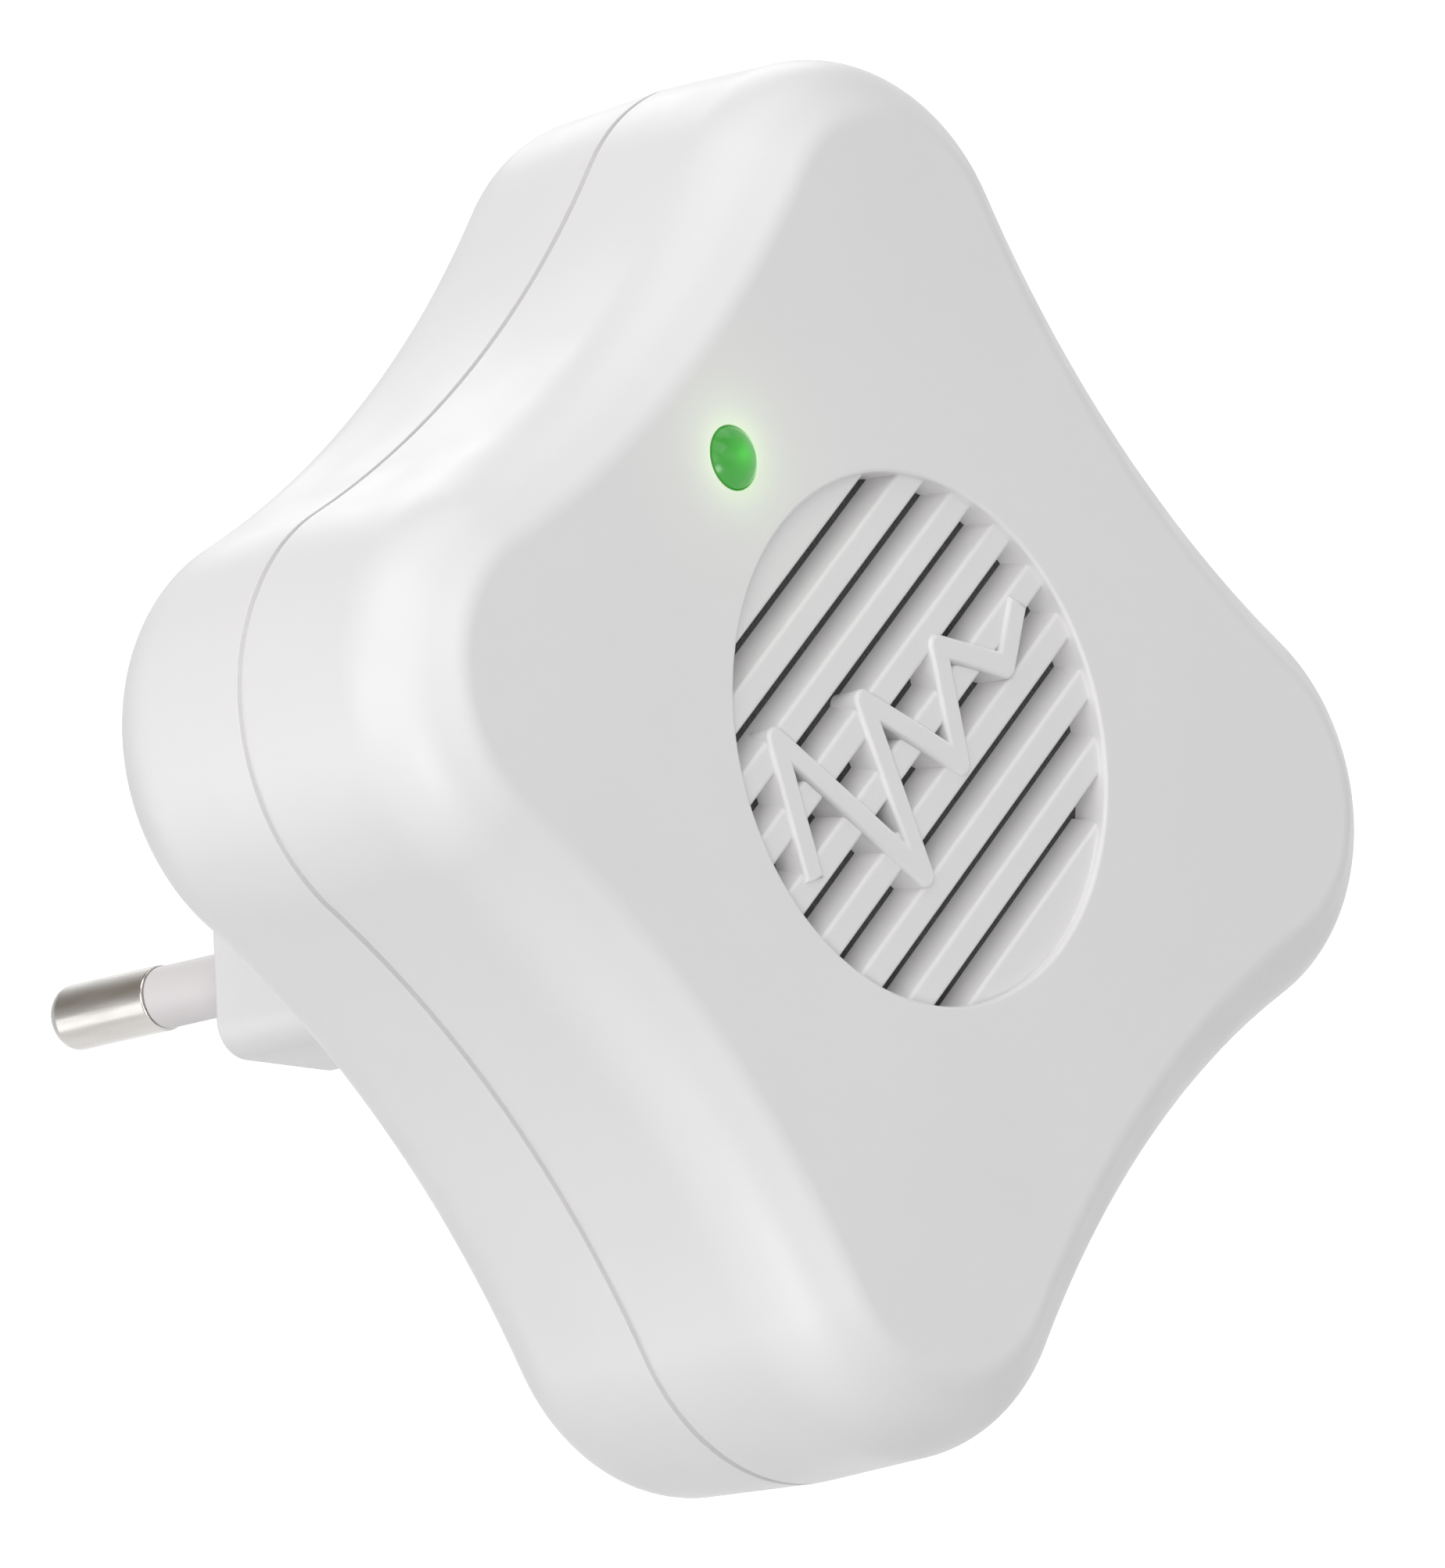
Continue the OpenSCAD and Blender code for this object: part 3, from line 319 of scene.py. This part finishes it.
def outline(inset, lobe_steps=44, waist_steps=22):
    """Lobed outline drawn in by a distance: points and outward directions in X and Z."""
    tilt = math.atan2(LOBE_AT, WAIST_AT - LOBE_AT)
    quarter_points, quarter_ways = [], []
    for i in range(lobe_steps):
        a = -tilt + (math.pi / 2 + 2 * tilt) * i / lobe_steps
        n = np.array([math.cos(a), math.sin(a)])
        quarter_points.append(np.array([LOBE_AT, LOBE_AT]) + (LOBE_R - inset) * n)
        quarter_ways.append(n)
    for i in range(waist_steps):
        a = -math.pi / 2 + tilt - 2 * tilt * i / waist_steps
        n = -np.array([math.cos(a), math.sin(a)])
        quarter_points.append(np.array([0, WAIST_AT]) - (WAIST_R + inset) * n)
        quarter_ways.append(n)
    points, ways = [], []
    for k in range(4):
        c, s = math.cos(math.pi / 2 * k), math.sin(math.pi / 2 * k)
        points += [(p[0] * c - p[1] * s, p[0] * s + p[1] * c) for p in quarter_points]
        ways += [(n[0] * c - n[1] * s, n[0] * s + n[1] * c) for n in quarter_ways]
    return np.array(points), np.array(ways)


def ring(radius, x, z, steps):
    """Circle in X and Z: points and outward directions."""
    a = np.arange(steps) * 2 * math.pi / steps
    ways = np.stack([np.cos(a), np.sin(a)], 1)
    return ways * radius + np.array([x, z]), ways


# An edge is a list of (depth, inset, out, deep): out and deep are the shares of its normal that
# point outwards and along the depth.


def rounded_edge(side, top, edge, steps=30):
    """Full edge that turns from the side wall into the face like part of a superellipse."""
    a = np.linspace(0, math.pi / 2, 1500)
    s = side + (top - side) * np.sin(a) ** (2 / EDGE_POWER)
    d = DRAFT + edge * (1 - np.cos(a) ** (2 / EDGE_POWER))
    run = np.concatenate([[0], np.cumsum(np.hypot(np.diff(s), np.diff(d)))])
    at = np.linspace(0, run[-1], steps + 1)
    s, d = np.interp(at, run, s), np.interp(at, run, d)
    ts, td = np.gradient(s), np.gradient(d)
    ts[0], td[0], ts[-1], td[-1] = 1, DRAFT / side / 2, 0, 1
    size = np.hypot(ts, td)
    return list(zip(s, d, ts / size, td / size))


def bevelled_edge(side, top, round_r, turn, blend, steps=16):
    """Edge with an arc, a straight bevel and a blend into the face."""
    made = []
    for i in range(steps + 1):
        a = turn * i / steps
        depth, inset = side + round_r * math.sin(a), DRAFT + round_r * (1 - math.cos(a))
        made.append((depth, inset, math.cos(a), math.sin(a)))
    crest = top - blend * (1 - math.sin(turn))
    centre = inset + (crest - depth) * math.tan(turn) + blend * math.cos(turn)
    for i in range(steps + 1):
        a = turn + (math.pi / 2 - turn) * i / steps
        depth, inset = top - blend * (1 - math.sin(a)), centre - blend * math.cos(a)
        made.append((depth, inset, math.cos(a), math.sin(a)))
    return made


def rim_fillet(depth, r, steps=4):
    """Small edge from a flange at this depth out onto the side wall."""
    made = []
    for i in range(steps + 1):
        a = -math.pi / 2 + math.pi / 2 * i / steps
        made.append((depth + r + r * math.sin(a), r - r * math.cos(a), math.cos(a), math.sin(a)))
    return made


def shell(kit, way, lip, edge):
    """Lobed wall from the lip in the seam to the flat face, whose row it returns.

    Way is the sign of Y that depth runs along.
    """
    flange = SEAM_GAP / 2
    lip_wall = [(lip, LIP_INSET, 1, 0), (flange, LIP_INSET, 1, 0)]
    outer = [(flange, LIP_INSET, 0, -1), *rim_fillet(flange, SEAM_FILLET), *edge]
    for profile in (lip_wall, outer):
        rows = []
        for depth, inset, out, deep in profile:
            rows.append(kit.level(*outline(inset), SEAM_Y + way * depth, out, way * deep))
        kit.bands(rows)
    return rows[-1]


def hole(kit, way, top, bottom, radius, fillet, x, z, steps, fillet_steps=4):
    """Round hole with a filleted mouth in the face at depth top. Returns its row in the face."""
    rows = []
    for i in range(fillet_steps + 1):
        a = math.pi / 2 * i / fillet_steps
        c, s = math.cos(a), math.sin(a)
        flat, ways = ring(radius + fillet - fillet * s, x, z, steps)
        rows.append(kit.level(flat, ways, SEAM_Y + way * (top - fillet + fillet * c), -s, way * c))
    rows.append(kit.level(*ring(radius, x, z, steps), SEAM_Y + way * bottom, -1, 0))
    kit.bands(rows)
    return rows[0]


# ---- Front shell -----------------------------------------------------------------------------

face = FRONT["top"]
wall_foot = face - FACE_WALL

front = Skin()
front_edge = bevelled_edge(
    FRONT["side"], FRONT["top"], FRONT["round"], FRONT["turn"], FRONT["blend"]
)
front_row = shell(front, -1, FRONT_LIP, front_edge)
grille_row = hole(front, -1, face, wall_foot, GRILLE_R, GRILLE_FILLET, 0, GRILLE_Z, 160)
led_row = hole(front, -1, face, wall_foot, LED_HOLE_R, LED_HOLE_FILLET, 0, LED_Z, 64)
front.cap([front_row, grille_row, led_row], SEAM_Y - face, (0, -1, 0))
add_piece("front_shell", front, "housing_white", ["front_cover"])


# ---- Grille: bars and wave ribbon ------------------------------------------------------------

bar_top = face - GRILLE_SUNK
bar_reach = GRILLE_R + BAR_OVERLAP
slot_centres = [GRILLE_Z + (i - (SLOTS - 1) / 2) * SLOT_PITCH for i in range(SLOTS)]


def bar_section(low, high, lean_low, lean_high, steps=6):
    """Section of a bar as (z, depth, nz, ndepth), from its lower foot over the top."""
    height, r = bar_top - wall_foot, BAR_FILLET
    side = math.hypot(lean_low, height)
    made = [(low - lean_low, wall_foot, -height / side, lean_low / side)]
    start = math.atan2(lean_low, height)
    for i in range(steps + 1):
        a = start + (math.pi / 2 - start) * i / steps
        c, s = math.cos(a), math.sin(a)
        made.append((low + r - r * c, bar_top - r + r * s, -c, s))
    start = math.atan2(lean_high, height)
    for i in range(steps + 1):
        a = math.pi / 2 + (math.pi / 2 - start) * i / steps
        c, s = math.cos(a), math.sin(a)
        made.append((high - r - r * c, bar_top - r + r * s, -c, s))
    made.append((high + lean_high, wall_foot, height / side, lean_high / side))
    return made


def half_chord(off):
    """Half the width of the grille's opening at this distance from its middle."""
    return math.sqrt(max(bar_reach**2 - off**2, 0.0))


def bar_rows(kit, section, xs_at):
    """Rows along X, one for each point of a bar's section. xs_at gives their X from their Z."""
    rows = []
    for z, depth, nz, nd in section:
        xs = xs_at(z)
        rows.append(kit.row([(x, SEAM_Y - depth, z) for x in xs], [(0, -nd, nz)] * len(xs)))
    return rows


def full_width(z):
    """Both ends of a bar that crosses the opening at height z."""
    half = half_chord(z - GRILLE_Z)
    return -half, half


def end_bar(kit, side, columns=40):
    """Flat piece between the outermost slot and the opening, below (-1) or above (1) the slots."""
    inner = slot_centres[0 if side < 0 else -1] + side * SLOT_W / 2
    rim = GRILLE_Z + side * bar_reach
    if side < 0:
        section = bar_section(rim, inner, 0, SLOT_LEAN)
        section = section[len(section) // 2 :][::-1]
    else:
        section = bar_section(inner, rim, SLOT_LEAN, 0)
        section = section[: len(section) // 2]
    xs = np.linspace(*full_width(inner), columns + 1)
    rows = bar_rows(kit, section, lambda z: xs)
    arc = [(x, SEAM_Y - bar_top, GRILLE_Z + side * half_chord(x)) for x in xs]
    rows.append(kit.row(arc, [(0, -1, 0)] * len(arc)))
    kit.bands(rows, closed=False)


bars = Skin()
end_bar(bars, -1)
for below, above in zip(slot_centres, slot_centres[1:]):
    section = bar_section(below + SLOT_W / 2, above - SLOT_W / 2, SLOT_LEAN, SLOT_LEAN)
    rows = bar_rows(bars, section, full_width)
    bars.bands(rows, closed=False)
end_bar(bars, 1)
add_piece("grille_bars", bars, "housing_white")

wave_start = -WAVE_STEP * (WAVE_TURNS + 1) / 2
wave_heights = [0.0, *(WAVE_CREST * (-WAVE_KEEP) ** k for k in range(WAVE_TURNS)), 0.0]
wave = [np.array([wave_start + k * WAVE_STEP, h]) for k, h in enumerate(wave_heights)]


def ribbon_outline(inset, turn_steps=12):
    """Outline of the wave ribbon, drawn in: round outside its turns, mitred inside."""
    half = WAVE_W / 2 - inset
    heading = [math.atan2(b[1] - a[1], b[0] - a[0]) for a, b in zip(wave, wave[1:])]
    first, last = (np.array([math.cos(a), math.sin(a)]) for a in (heading[0], heading[-1]))
    sides = []
    for side in (1, -1):
        square = side * math.pi / 2
        spots = [(wave[0] + inset * first, heading[0] + square, 1.0)]
        for corner, before, after in zip(wave[1:], heading, heading[1:]):
            bend = after - before
            if side * bend < 0:
                for i in range(turn_steps + 1):
                    spots.append((corner, before + square + bend * i / turn_steps, 1.0))
            else:
                spots.append((corner, (before + after) / 2 + square, 1 / math.cos(bend / 2)))
        spots.append((wave[-1] - inset * last, heading[-1] + square, 1.0))
        ways = [np.array([math.cos(a), math.sin(a)]) for _, a, _ in spots]
        points = [at + half * reach * way for (at, _, reach), way in zip(spots, ways)]
        sides.append((points, ways))
    (a, a_ways), (b, b_ways) = sides
    return a + b[::-1], a_ways + b_ways[::-1]


ribbon = Skin()
ribbon_top = bar_top + WAVE_RISE
ribbon_profile = [(wall_foot, 0.0, 1.0, 0.0)]
for i in range(6):
    a = math.pi / 2 * i / 5
    c, s = math.cos(a), math.sin(a)
    ribbon_profile.append((ribbon_top - WAVE_FILLET * (1 - s), WAVE_FILLET * (1 - c), c, s))
rows = []
for depth, inset, out, deep in ribbon_profile:
    flat, ways = ribbon_outline(inset)
    flat = [(p[0], GRILLE_Z + p[1]) for p in flat]
    rows.append(ribbon.level(flat, ways, SEAM_Y - depth, out, -deep))
ribbon.bands(rows)
ribbon.cap([rows[-1]], SEAM_Y - ribbon_top, (0, -1, 0))
add_piece("wave_ribbon", ribbon, "housing_white")


# ---- Rear shell with the plug block ----------------------------------------------------------


def block_outline(grow, steps=8):
    """The plug block's hexagon, its edges rounded, grown by a distance."""
    r = PLUG_ROUND + grow
    flat = PLUG_H / 2 - PLUG_ROUND
    point = PLUG_W / 2 - PLUG_ROUND * math.sqrt(2)
    corners = [
        ((point, 0), -45, 45),
        ((point - flat, flat), 45, 90),
        ((flat - point, flat), 90, 135),
        ((-point, 0), 135, 225),
        ((flat - point, -flat), 225, 270),
        ((point - flat, -flat), 270, 315),
    ]
    points, ways = [], []
    for (x, z), start, end in corners:
        for i in range(steps + 1):
            a = math.radians(start + (end - start) * i / steps)
            ways.append((math.cos(a), math.sin(a)))
            points.append((x + r * math.cos(a), z + r * math.sin(a)))
    return points, ways


rear = Skin()
back = REAR["top"]
rear_row = shell(rear, 1, REAR_LIP, rounded_edge(REAR["side"], REAR["top"], REAR["edge"]))
screw_rows = [
    hole(rear, 1, back, SCREW_SEAT, SCREW_HOLE_R, SCREW_FILLET, sx * LOBE_AT, sz * LOBE_AT, 64)
    for sx in (-1, 1)
    for sz in (-1, 1)
]
block_profile = []
for i in range(5):
    a = math.pi / 2 * i / 4
    c, s = math.cos(a), math.sin(a)
    block_profile.append((back + PLUG_ROOT * (1 - c), PLUG_ROOT * (1 - s), s, c))
for i in range(7):
    a = math.pi / 2 * i / 6
    c, s = math.cos(a), math.sin(a)
    block_profile.append((PLUG_REACH - PLUG_BEVEL * (1 - s), -PLUG_BEVEL * (1 - c), c, s))
block_rows = [
    rear.level(*block_outline(grow), SEAM_Y + depth, out, deep)
    for depth, grow, out, deep in block_profile
]
rear.bands(block_rows)
rear.cap([rear_row, *screw_rows, block_rows[0]], SEAM_Y + back, (0, 1, 0))
rear.cap([block_rows[-1]], SEAM_Y + PLUG_REACH, (0, 1, 0))
add_piece("rear_shell", rear, "housing_white", ["rear_cover"])


# ---- Light, pins and sleeves -----------------------------------------------------------------


def turned_piece(name, profile, x, z, slot, node, steps=64):
    """Piece turned round a line along Y, from (depth, radius, out, deep) rows."""
    kit = Skin()
    kit.bands(
        [
            kit.level(*ring(radius, x, z, steps), SEAM_Y + depth, out, deep)
            for depth, radius, out, deep in profile
        ]
    )
    add_piece(name, kit, slot, [node])


def turned_edge(depth, radius, r, start, end, steps=6):
    """Rounded edge of a turned piece, round a centre at (depth, radius), between two angles."""
    return [
        (depth + r * math.sin(a), radius + r * math.cos(a), math.cos(a), math.sin(a))
        for a in (start + (end - start) * i / steps for i in range(steps + 1))
    ]


dome_r = (LED_R**2 + LED_OUT**2) / (2 * LED_OUT)
dome_to = math.asin(LED_R / dome_r)
lens = []
for i in range(15):
    a = dome_to * i / 14
    depth = -face - LED_OUT + dome_r * (1 - math.cos(a))
    lens.append((depth, max(dome_r * math.sin(a), POINT_R), math.sin(a), -math.cos(a)))
lens += [(-face, LED_R, 1, 0), (LED_DEEP - face, LED_R, 1, 0)]
turned_piece("light_lens", lens, 0, LED_Z, "green_lens", "led_lens")

shoulder = PLUG_REACH + PIN_LEN - PIN_BARE
tip = PLUG_REACH + PIN_LEN
edge_r, nose_r, sleeve_r = PIN_R - PIN_EDGE, PIN_R - PIN_NOSE, SLEEVE_R - SLEEVE_EDGE
pin_profile = [
    (shoulder, SLEEVE_BORE, 0, -1),
    (shoulder, edge_r, 0, -1),
    *turned_edge(shoulder + PIN_EDGE, edge_r, PIN_EDGE, -math.pi / 2, 0),
    *turned_edge(tip - PIN_NOSE, nose_r, PIN_NOSE, 0, math.pi / 2, 12),
    (tip, POINT_R, 0, 1),
]
sleeve_profile = [
    (PLUG_REACH - SLEEVE_SUNK, SLEEVE_R, 1, 0),
    (shoulder - SLEEVE_EDGE, SLEEVE_R, 1, 0),
    *turned_edge(shoulder - SLEEVE_EDGE, sleeve_r, SLEEVE_EDGE, 0, math.pi / 2),
    (shoulder, SLEEVE_BORE, 0, 1),
]
for x, word in ((-PIN_X, "left"), (PIN_X, "right")):
    turned_piece(f"pin_tip_{word}", pin_profile, x, 0, "nickel", f"pin_{word}")
    turned_piece(f"pin_sleeve_{word}", sleeve_profile, x, 0, "sleeve_grey", f"sleeve_{word}")


# ---- Finishes on the frame's own pieces ------------------------------------------------------

WELD_WITHIN = 0.000002  # metres
SHARP_OVER = math.radians(32)

slot_of = {s["node"]: s["material_slot"] for s in frame["record"]["subparts"]}
for name, o in NODES.items():
    o.data.materials.clear()
    o.data.materials.append(FINISH[slot_of[name]])
    o.data.polygons.foreach_set("use_smooth", [True] * len(o.data.polygons))
    o.modifiers.new("weld", "WELD").merge_threshold = WELD_WITHIN
    o.modifiers.new("edges", "EDGE_SPLIT").split_angle = SHARP_OVER


# ---- Floor, light and camera -----------------------------------------------------------------

FLOOR_Z, FLOOR_HALF = -0.115, 3
FLOOR_COLOUR, FLOOR_OWN = (0.5, 0.5, 0.5, 1), 0.82
SKY_LIGHT, SKY_SEEN = 0.25, 1.0
CEILING_FROM, CEILING_TO, CEILING_COLOUR = 0.42, 0.7, (0.36, 0.33, 0.29, 1)
WHITE = (1, 1, 1, 1)


def math_node(tree, operation, a, b):
    """Output of a Math node on two inputs, each a socket or a number."""
    made = tree.nodes.new("ShaderNodeMath")
    made.operation = operation
    for socket, value in zip(made.inputs, (a, b)):
        if isinstance(value, bpy.types.NodeSocket):
            tree.links.new(value, socket)
        else:
            socket.default_value = value
    return made.outputs[0]


def seen_rays(tree):
    """Light Path node, and a value that is 1 for camera and glossy rays and 0 for the others."""
    rays = tree.nodes.new("ShaderNodeLightPath")
    seen = (rays.outputs["Is Camera Ray"], rays.outputs["Is Glossy Ray"])
    return rays, math_node(tree, "MAXIMUM", *seen)


# The floor is lit as a matt surface, and carried up to white for the camera and in reflections.
floor_material = bpy.data.materials.new("stage_floor")
floor_material.use_nodes = True
tree = floor_material.node_tree
tree.nodes.remove(tree.nodes["Principled BSDF"])
matt = tree.nodes.new("ShaderNodeBsdfDiffuse")
matt.inputs["Color"].default_value = FLOOR_COLOUR
own = tree.nodes.new("ShaderNodeEmission")
own.inputs["Color"].default_value = WHITE
_, seen = seen_rays(tree)
tree.links.new(math_node(tree, "MULTIPLY", seen, FLOOR_OWN), own.inputs["Strength"])
both = tree.nodes.new("ShaderNodeAddShader")
tree.links.new(matt.outputs[0], both.inputs[0])
tree.links.new(own.outputs[0], both.inputs[1])
tree.links.new(both.outputs[0], tree.nodes["Material Output"].inputs["Surface"])

floor_mesh = bpy.data.meshes.new("floor")
h = FLOOR_HALF
floor_mesh.from_pydata(
    [(-h, -h, FLOOR_Z), (h, -h, FLOOR_Z), (h, h, FLOOR_Z), (-h, h, FLOOR_Z)], [], [(0, 1, 2, 3)]
)
floor_mesh.materials.append(floor_material)
floor = bpy.data.objects.new("floor", floor_mesh)
bpy.context.scene.collection.objects.link(floor)

# The world gives a low even light. The camera and reflections see it white, apart from a darker
# ceiling that shows in reflections alone.
world = bpy.data.worlds.new("studio")
bpy.context.scene.world = world
world.use_nodes = True
tree = world.node_tree
sky = tree.nodes["Background"]
rays, seen = seen_rays(tree)
strength = tree.nodes.new("ShaderNodeMapRange")
strength.inputs["To Min"].default_value = SKY_LIGHT
strength.inputs["To Max"].default_value = SKY_SEEN
tree.links.new(seen, strength.inputs["Value"])
tree.links.new(strength.outputs["Result"], sky.inputs["Strength"])
where = tree.nodes.new("ShaderNodeTexCoord")
split = tree.nodes.new("ShaderNodeSeparateXYZ")
tree.links.new(where.outputs["Generated"], split.inputs["Vector"])
ceiling = tree.nodes.new("ShaderNodeMapRange")
ceiling.inputs["From Min"].default_value = CEILING_FROM
ceiling.inputs["From Max"].default_value = CEILING_TO
tree.links.new(split.outputs["Z"], ceiling.inputs["Value"])
shown = math_node(tree, "MULTIPLY", rays.outputs["Is Glossy Ray"], ceiling.outputs["Result"])
mix = tree.nodes.new("ShaderNodeMix")
mix.data_type = "RGBA"
mix.inputs["A"].default_value = WHITE
mix.inputs["B"].default_value = CEILING_COLOUR
tree.links.new(shown, mix.inputs["Factor"])
tree.links.new(mix.outputs["Result"], sky.inputs["Color"])

# Softboxes: place in metres, side in metres and power in watts. All aim at the same point.
AIM = Vector((0, -0.03, 0))
SOFTBOXES = {
    "top_light": ((0, -0.216, 1.079), 0.6, 2.5),
    "front_light": ((0, -0.778, 0.778), 0.6, 2.05),
    "right_light": ((0.743, -0.318, 0.743), 0.6, 1.4),
    "front_left_light": ((-0.669, -0.558, 0.669), 0.6, 2.1),
    "low_front_light": ((0, -1.092, 0.131), 0.6, 0.7),
    "low_left_light": ((-0.858, -0.688, 0.06), 0.34, 2.7),
    "left_light": ((-0.774, 0.111, 0.774), 0.6, 2.3),
    "back_left_light": ((-0.863, 0.647, 0.216), 0.6, 1.55),
    "back_right_light": ((0.873, 0.498, 0.316), 0.6, 1.6),
}
for name, (at, size, power) in SOFTBOXES.items():
    lamp = bpy.data.lights.new(name, "AREA")
    lamp.shape = "RECTANGLE"
    lamp.size, lamp.size_y = size, size
    lamp.energy = power
    o = bpy.data.objects.new(name, lamp)
    bpy.context.scene.collection.objects.link(o)
    turn = (AIM - Vector(at)).to_track_quat("-Z", "Y")
    o.matrix_world = Matrix.Translation(at) @ turn.to_matrix().to_4x4()

# Small lamp in front of the lens, for the green halo on the face around it.
GLOW_OUT = 2.0
glow = bpy.data.lights.new("led_glow", "POINT")
glow.energy = 0.00016
glow.color = (0.6, 1.0, 0.32)
glow.shadow_soft_size = 0.0006
glow_lamp = bpy.data.objects.new("led_glow", glow)
glow_lamp.location = (0, (SEAM_Y - face - GLOW_OUT) * MM, LED_Z * MM)
glow_lamp.visible_glossy = False
bpy.context.scene.collection.objects.link(glow_lamp)

# The camera's place and its axes: right, up and away from the object.
eye = Vector((-0.46924, -0.52471, 0.26825))
right = Vector((0.45676, -0.71820, -0.52493))
up = Vector((0.61726, -0.16905, 0.76838))
away = Vector((-0.64060, -0.67499, 0.36610))
camera_data = bpy.data.cameras.new("camera")
camera_data.sensor_width = 36
camera_data.lens = 290.03
camera_data.clip_start = 0.05
camera = bpy.data.objects.new("camera", camera_data)
camera.matrix_world = Matrix(
    (
        (right.x, up.x, away.x, eye.x),
        (right.y, up.y, away.y, eye.y),
        (right.z, up.z, away.z, eye.z),
        (0, 0, 0, 1),
    )
)
bpy.context.scene.collection.objects.link(camera)
bpy.context.scene.camera = camera
bpy.context.scene.view_settings.view_transform = "Standard"
